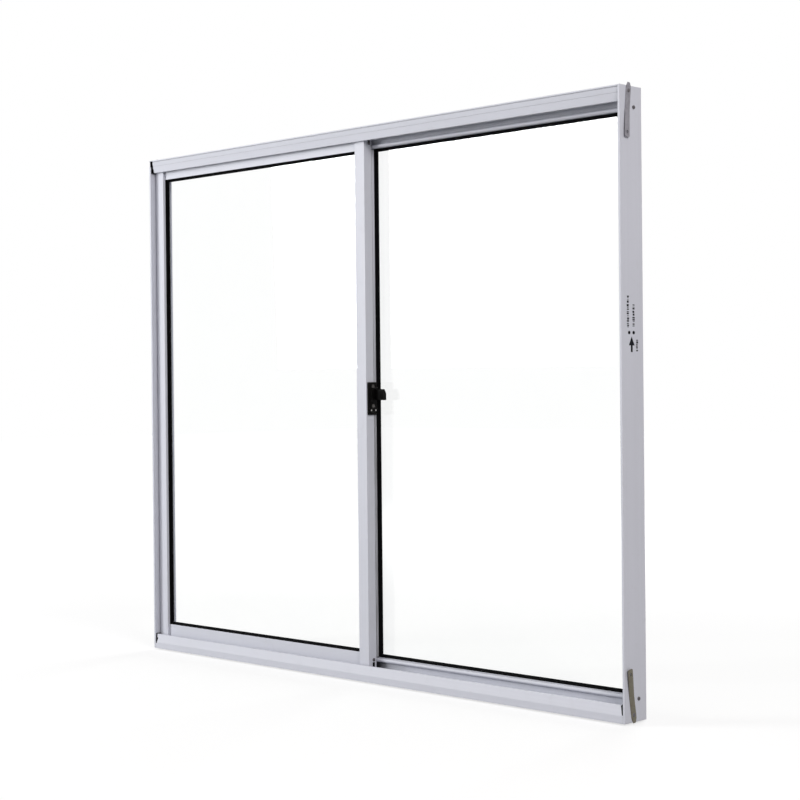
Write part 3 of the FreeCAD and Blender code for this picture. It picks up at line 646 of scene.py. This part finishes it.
def strap_plate(bm, side, z, lean, tip_up):
    """Pressed steel strap with a raised middle rib, a narrowed tip and a hole at its end."""
    flip = 1.0 if tip_up else -1.0
    place = (Matrix.Translation((side * JAMB_FACE, STRAP_Y, z))
             @ Matrix.Rotation(math.radians(lean), 4, "X"))

    def along(k):
        return STRAP_TIP - STRAP_LENGTH * k / STRAP_ROWS

    def across(c):
        return -1.0 + 2.0 * c / STRAP_COLUMNS

    def grid(is_face):
        points = []
        for k in range(STRAP_ROWS + 1):
            t = along(k)
            row = []
            for c in range(STRAP_COLUMNS + 1):
                s = across(c)
                roll = EDGE_ROLL * max(0.0, (abs(s) - EDGE_START) / (1.0 - EDGE_START)) ** 2
                out = strap_rise(t, s) + (STRAP_THICK - roll if is_face else roll)
                local = Vector((side * out, s * strap_half_width(t), flip * t))
                row.append(bm.verts.new(place @ local))
            points.append(row)
        return points

    face, under = grid(True), grid(False)
    hole = set()
    for k in range(STRAP_ROWS):
        for c in range(STRAP_COLUMNS):
            t = along(k + 0.5)
            if math.hypot(across(c + 0.5) * strap_half_width(t), t - STRAP_HOLE_PLACE) < STRAP_HOLE:
                hole.add((k, c))
    for points in (face, under):
        for k in range(STRAP_ROWS):
            for c in range(STRAP_COLUMNS):
                if (k, c) not in hole:
                    bm.faces.new((points[k][c], points[k][c + 1],
                                  points[k + 1][c + 1], points[k + 1][c]))

    def wall(a, b):
        """Joins the face to the underside along the edge from grid point a to b."""
        (k0, c0), (k1, c1) = a, b
        bm.faces.new((face[k0][c0], face[k1][c1], under[k1][c1], under[k0][c0]))

    for k in range(STRAP_ROWS):
        for c in (0, STRAP_COLUMNS):
            wall((k, c), (k + 1, c))
    for c in range(STRAP_COLUMNS):
        for k in (0, STRAP_ROWS):
            wall((k, c), (k, c + 1))
    for k, c in hole:
        near, far = (k, c), (k + 1, c + 1)
        for neighbour, a, b in (((k - 1, c), near, (k, c + 1)), ((k + 1, c), (k + 1, c), far),
                                ((k, c - 1), near, (k + 1, c)), ((k, c + 1), (k, c + 1), far)):
            if neighbour not in hole:
                wall(a, b)


def make_strap(word, side, tag, z, lean, tip_up, slot):
    def plate(bm):
        strap_plate(bm, side, z, lean, tip_up)
    put("strap_" + word + "_" + tag, plate, FINISH[slot],
        ["anchor_strap_" + word + "_" + tag])


# Plain marks on the right jamb, given as depth behind the frame's front and height

INK, THIN_INK = (0.003, 0.003, 0.006), (0.035, 0.035, 0.045)
INK_THICK = 0.00004
ARROW_MID = 0.0260
ARROW = ((-0.0024, 0.5820), (0.0024, 0.5820), (0.0024, 0.5925), (0.0074, 0.5925),
         (0.0, 0.6066), (-0.0074, 0.5925), (-0.0024, 0.5925))
# Depth, top, bottom and width of each row of ticks
TICK_ROWS = ((0.0168, 0.6704, 0.6204, 0.0058), (0.0313, 0.6569, 0.6215, 0.0062),
             (0.0398, 0.6015, 0.5848, 0.0050))
TICK_HEIGHTS, TICK_GAPS = (0.0010, 0.0016, 0.0024, 0.0034), (0.0007, 0.0009, 0.0020)
TICK_SHIFT, TICK_SHORTEST = 0.0004, 0.72
DOT_DEPTHS, DOT_HEIGHT = (0.0197, 0.0314), 0.6126
DOT_HALF_DEPTH, DOT_HALF_HEIGHT, DOT_AROUND = 0.0032, 0.0028, 24
MARK_SEED = 7


def make_marks():
    rng = random.Random(MARK_SEED)

    def patch(bm, outline):
        prism(bm, [(JAMB_FACE, depth + FRONT, z) for depth, z in outline],
              [(JAMB_FACE + INK_THICK, depth + FRONT, z) for depth, z in outline])

    def tick(bm, depth, z, wide, tall):
        patch(bm, [(depth - wide / 2, z - tall / 2), (depth + wide / 2, z - tall / 2),
                   (depth + wide / 2, z + tall / 2), (depth - wide / 2, z + tall / 2)])

    def marks(bm):
        patch(bm, [(ARROW_MID + offset, z) for offset, z in ARROW])
        for depth, top, bottom, wide in TICK_ROWS:
            z = top
            while z > bottom:
                tall = rng.choice(TICK_HEIGHTS)
                tick(bm, depth + rng.uniform(-TICK_SHIFT, TICK_SHIFT), z - tall / 2,
                     wide * rng.uniform(TICK_SHORTEST, 1.0), tall)
                z -= tall + rng.choice(TICK_GAPS)
        for depth in DOT_DEPTHS:
            patch(bm, [(depth + DOT_HALF_DEPTH * x, DOT_HEIGHT + DOT_HALF_HEIGHT * y)
                       for x, y, _ in circle(1.0, 0.0, DOT_AROUND)])
    put("jamb_marks", marks, print_ink("mark_ink", INK, THIN_INK))


# Latch: a shell with a raised guide round the lever, a ridge, a pivot and two clip pins

SHELL_ROUND, RIDGE_ROUND = 0.0009, 0.0004
SHELL_SUNK = 0.0015
GUIDE_RISE, GUIDE_AROUND_LEVER, GUIDE_FROM_FRONT, GUIDE_FROM_BACK = 0.0013, 0.0022, 0.0022, 0.0003
RIDGE_RISE, RIDGE_MARGIN, RIDGE_LOW, RIDGE_HIGH = 0.0008, 0.0030, 0.0128, 0.0138
PIVOT_RISE, PIVOT_FROM_FRONT, PIVOT_OVER_MIDDLE = 0.0012, 0.0075, 0.0005
# Radius and height of each ring
PIVOT_RINGS, PIVOT_SIDES = ((0.0030, 0.0), (0.0029, 0.0006), (0.0022, 0.0010),
                            (0.0010, 0.0011)), 28
PIN_RINGS, PIN_SIDES = ((0.0014, -0.0003), (0.0014, 0.0003), (0.0010, 0.00045)), 20
PIN_HEIGHT, PIN_FROM_FRONT, PIN_FROM_BACK = 0.0084, 0.0065, 0.0024
HANDLE_ROUND, HANDLE_THICK, STEM_THICK = 0.0011, 0.0035, 0.0030
GRIPS, GRIP_START, GRIP_SPACING, GRIP_HALF, GRIP_ROUND = 4, 0.0060, 0.0026, 0.0006, 0.0004


def make_latch():
    black = FINISH["black_plastic"]
    low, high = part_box("latch_body")
    foot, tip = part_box("latch_lever")
    top = high.x
    sunk = top - SHELL_SUNK

    def shell(bm):
        soft_box(bm, low, high, SHELL_ROUND)
        soft_box(bm, (sunk, low.y + GUIDE_FROM_FRONT, foot.z - GUIDE_AROUND_LEVER),
                 (top + GUIDE_RISE, high.y - GUIDE_FROM_BACK, tip.z + GUIDE_AROUND_LEVER),
                 SHELL_ROUND)
        soft_box(bm, (sunk, low.y + RIDGE_MARGIN, low.z + RIDGE_LOW),
                 (top + RIDGE_RISE, high.y - RIDGE_MARGIN, low.z + RIDGE_HIGH), RIDGE_ROUND)
        pivot = toward_x(top + PIVOT_RISE, low.y + PIVOT_FROM_FRONT,
                         (foot.z + tip.z) / 2.0 + PIVOT_OVER_MIDDLE, 1)
        rings(bm, [circle(radius, rise, PIVOT_SIDES) for radius, rise in PIVOT_RINGS], pivot)
    put("latch_shell", shell, black, ["latch_body"])

    def handle(bm):
        base, root = foot.x, foot.x + 0.0010
        soft_box(bm, (base, foot.y, foot.z), (base + STEM_THICK, tip.y, tip.z), HANDLE_ROUND)
        outline = [(root, foot.z + 0.0005), (tip.x, foot.z + 0.0005), (tip.x, tip.z - 0.0085),
                   (tip.x - 0.0040, tip.z - 0.0006), (root, tip.z)]
        thick_plate(bm, outline, tip.y - HANDLE_THICK, tip.y, HANDLE_ROUND)
        for k in range(GRIPS):
            x = tip.x - GRIP_START - GRIP_SPACING * k
            soft_box(bm, (x - GRIP_HALF, tip.y - 0.0042, foot.z + 0.0030),
                     (x + GRIP_HALF, tip.y - 0.0030, tip.z - 0.0040), GRIP_ROUND, 2)
    put("latch_handle", handle, black, ["latch_lever"])

    def pins(bm):
        for y in (low.y + PIN_FROM_FRONT, high.y - PIN_FROM_BACK):
            rings(bm, [circle(radius, rise, PIN_SIDES) for radius, rise in PIN_RINGS],
                  toward_x(top, y, low.z + PIN_HEIGHT, 1))
    put("latch_clip_pins", pins, FINISH["grey_nylon"])


# Painted shade: thin black lips laid over the open cut ends of the sill's sloping front flange

FLANGE_BREAK, FLANGE_TOP, FLANGE_SLOPE = 0.012, 0.0285, 0.0036
LIP_THICK, LIP_PROUD, LIP_CROWN = 0.0008, 0.00004, 0.00012
# Height and the two X of each level of a lip
CUT_END_SHADES = (
    ("right", ((0.0130, 0.5938, 0.5957), (0.0180, 0.5925, 0.5957), (0.0230, 0.5911, 0.5957),
               (0.0272, 0.5899, 0.5957), (0.0283, 0.5900, 0.5957))),
    ("left", ((0.0128, -0.5940, -0.5912), (0.0160, -0.5934, -0.5908),
              (0.0190, -0.5928, -0.5903), (0.0216, -0.5920, -0.5900))),
)


def make_cut_end_shade(word, levels):
    def lip(bm):
        loops = []
        for z, x0, x1 in levels:
            face = FLANGE_SLOPE * (z - FLANGE_BREAK) / (FLANGE_TOP - FLANGE_BREAK) + FRONT
            back, skin, crown = face + LIP_THICK, face - LIP_PROUD, face - LIP_CROWN
            loops.append([(x0, back, z), (x0, skin, z), ((x0 + x1) / 2.0, crown, z),
                          (x1, skin, z), (x1, back, z)])
        rings(bm, loops, Matrix.Identity(4))
    put("sill_cut_end_shade_" + word, lip, FINISH["black_rubber"])


# Painted shade: black blocks filling the open notches at both ends of the meeting stiles

BLOCK_DEEP, BLOCK_HALF, BLOCK_FROM_END, BLOCK_ROUND = 0.0011, 0.0023, 0.0006, 0.0003
# The block's cap is wider than its body and reaches past it at the notch's inner end
CAP_HALF, CAP_SUNK, CAP_PROUD, CAP_ROUND = 0.0027, 0.0001, 0.00025, 0.0001
CAP_OVER_BOTTOM, CAP_OVER_TOP = 0.0009, 0.0004
# Sash, the side its meeting stile faces, top of the low notch and bottom of the high one
NOTCHES = (("front_sash", 1, 0.0316, 0.9760), ("rear_sash", -1, 0.0223, 0.9795))


def make_notch_shade_blocks(sash, side, notch_low, notch_high):
    low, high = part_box(sash + "_screws")
    stile_low, stile_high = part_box(sash + "_meeting_stile")
    mid = (low.y + high.y) / 2.0
    face = stile_high.x if side > 0 else stile_low.x
    bottom = (stile_low.z + BLOCK_FROM_END, notch_low)
    top = (notch_high, stile_high.z - BLOCK_FROM_END)
    caps = ((bottom[0], bottom[1] + CAP_OVER_BOTTOM), (top[0] - CAP_OVER_TOP, top[1]))

    def slab(bm, inner, outer, half, span, radius):
        x0, x1 = sorted((face + side * inner, face + side * outer))
        soft_box(bm, (x0, mid - half, span[0]), (x1, mid + half, span[1]), radius, 2)

    def shade_blocks(bm):
        for body, cap in zip((bottom, top), caps):
            slab(bm, -BLOCK_DEEP, 0.0, BLOCK_HALF, body, BLOCK_ROUND)
            slab(bm, -CAP_SUNK, CAP_PROUD, CAP_HALF, cap, CAP_ROUND)
    put(sash + "_notch_shade_blocks", shade_blocks, FINISH["black_plastic"])


# Floor, world and lamps. Colours render about as they are written.

FLOOR_REACH, FLOOR_Z = 14.0, -0.0030
FLOOR_COLOURS = ((0.40, 0.40, 0.40), (0.42, 0.42, 0.42))
# What the camera sees of the floor's own paleness near the window, and further away
GLOW_NEAR, GLOW_MORE_AWAY, GLOW_START, GLOW_END = 0.69, 0.205, 1.2, 4.2
WHITE, WARM = (1.0, 1.0, 1.0), (1.0, 0.955, 0.945)
WORLD_LIGHT, WORLD_SEEN = 0.29, 1.0
MIDDLE = (0.0, 0.0, 0.5)
# Name, place, target, side of the square, watts and colour
LAMPS = (
    ("key_lamp", (-2.60, -3.00, 1.30), MIDDLE, 1.4, 80.0, WHITE),
    ("corner_lamp", (-1.60, -1.80, 1.60), (-0.5, 0.0, 0.9), 0.9, 5.5, WHITE),
    ("side_lamp", (3.40, -1.55, 2.10), (0.3, 0.0, 0.65), 1.3, 62.0, WARM),
    ("back_lamp", (-0.90, 3.80, 1.70), MIDDLE, 1.6, 62.0, WHITE),
)


def seen_rays(t):
    """1 for what the camera sees, also in gloss and through glass, 0 for what lights."""
    path = t.add("ShaderNodeLightPath")
    seen = t.math("MAXIMUM", path.outputs["Is Camera Ray"], path.outputs["Is Glossy Ray"])
    return t.math("MAXIMUM", seen, path.outputs["Is Transmission Ray"])


def make_floor():
    mesh = bpy.data.meshes.new("floor")
    corners = [(x * FLOOR_REACH, y * FLOOR_REACH, FLOOR_Z)
               for x, y in ((-1, -1), (1, -1), (1, 1), (-1, 1))]
    mesh.from_pydata(corners, [], [(0, 1, 2, 3)])
    floor = bpy.data.objects.new("floor", mesh)
    bpy.context.scene.collection.objects.link(floor)
    material, t = new_material("floor_pale")
    place = t.place()
    cloud = t.noise(place, 1.3, 2.0)
    matt = t.add("ShaderNodeBsdfDiffuse", {"Color": t.mix(cloud, *FLOOR_COLOURS)})
    away = t.add("ShaderNodeVectorMath", {0: place}, operation="LENGTH").outputs["Value"]
    paler = t.plus(t.times(t.ramp(away, GLOW_START, GLOW_END), GLOW_MORE_AWAY), GLOW_NEAR)
    glow = t.add("ShaderNodeEmission", {"Strength": t.times(seen_rays(t), paler)})
    both = t.add("ShaderNodeAddShader", {0: matt.outputs[0], 1: glow.outputs[0]})
    t.surface(both.outputs[0])
    mesh.materials.append(material)


def make_world():
    world = bpy.data.worlds.new("studio")
    bpy.context.scene.world = world
    world.use_nodes = True
    t = Tree(world.node_tree)
    lit, seen = [t.add("ShaderNodeBackground", {"Color": rgba(WHITE), "Strength": strength})
                 for strength in (WORLD_LIGHT, WORLD_SEEN)]
    mixed = t.add("ShaderNodeMixShader", {0: seen_rays(t), 1: lit.outputs[0], 2: seen.outputs[0]})
    t.surface(mixed.outputs[0], "ShaderNodeOutputWorld")


def make_lamps():
    for name, place, target, size, power, colour in LAMPS:
        data = bpy.data.lights.new(name, "AREA")
        data.shape = "RECTANGLE"
        data.size, data.size_y = size, size
        data.energy = power
        data.color = colour
        lamp = bpy.data.objects.new(name, data)
        lamp.location = place
        lamp.rotation_mode = "QUATERNION"
        lamp.rotation_quaternion = (Vector(target) - Vector(place)).to_track_quat("-Z", "Y")
        bpy.context.scene.collection.objects.link(lamp)


bpy.context.scene.view_settings.view_transform = "Standard"
make_camera()
dress_nodes()
for word, side in SIDES:
    make_side_fasteners(word, side)
make_sash_screws("front_sash", 1)
make_sash_screws("rear_sash", -1)
make_latch_screws()
for word, side in SIDES:
    for strap in STRAPS:
        make_strap(word, side, *strap)
make_marks()
make_latch()
for word, levels in CUT_END_SHADES:
    make_cut_end_shade(word, levels)
for notched in NOTCHES:
    make_notch_shade_blocks(*notched)
make_floor()
make_world()
make_lamps()
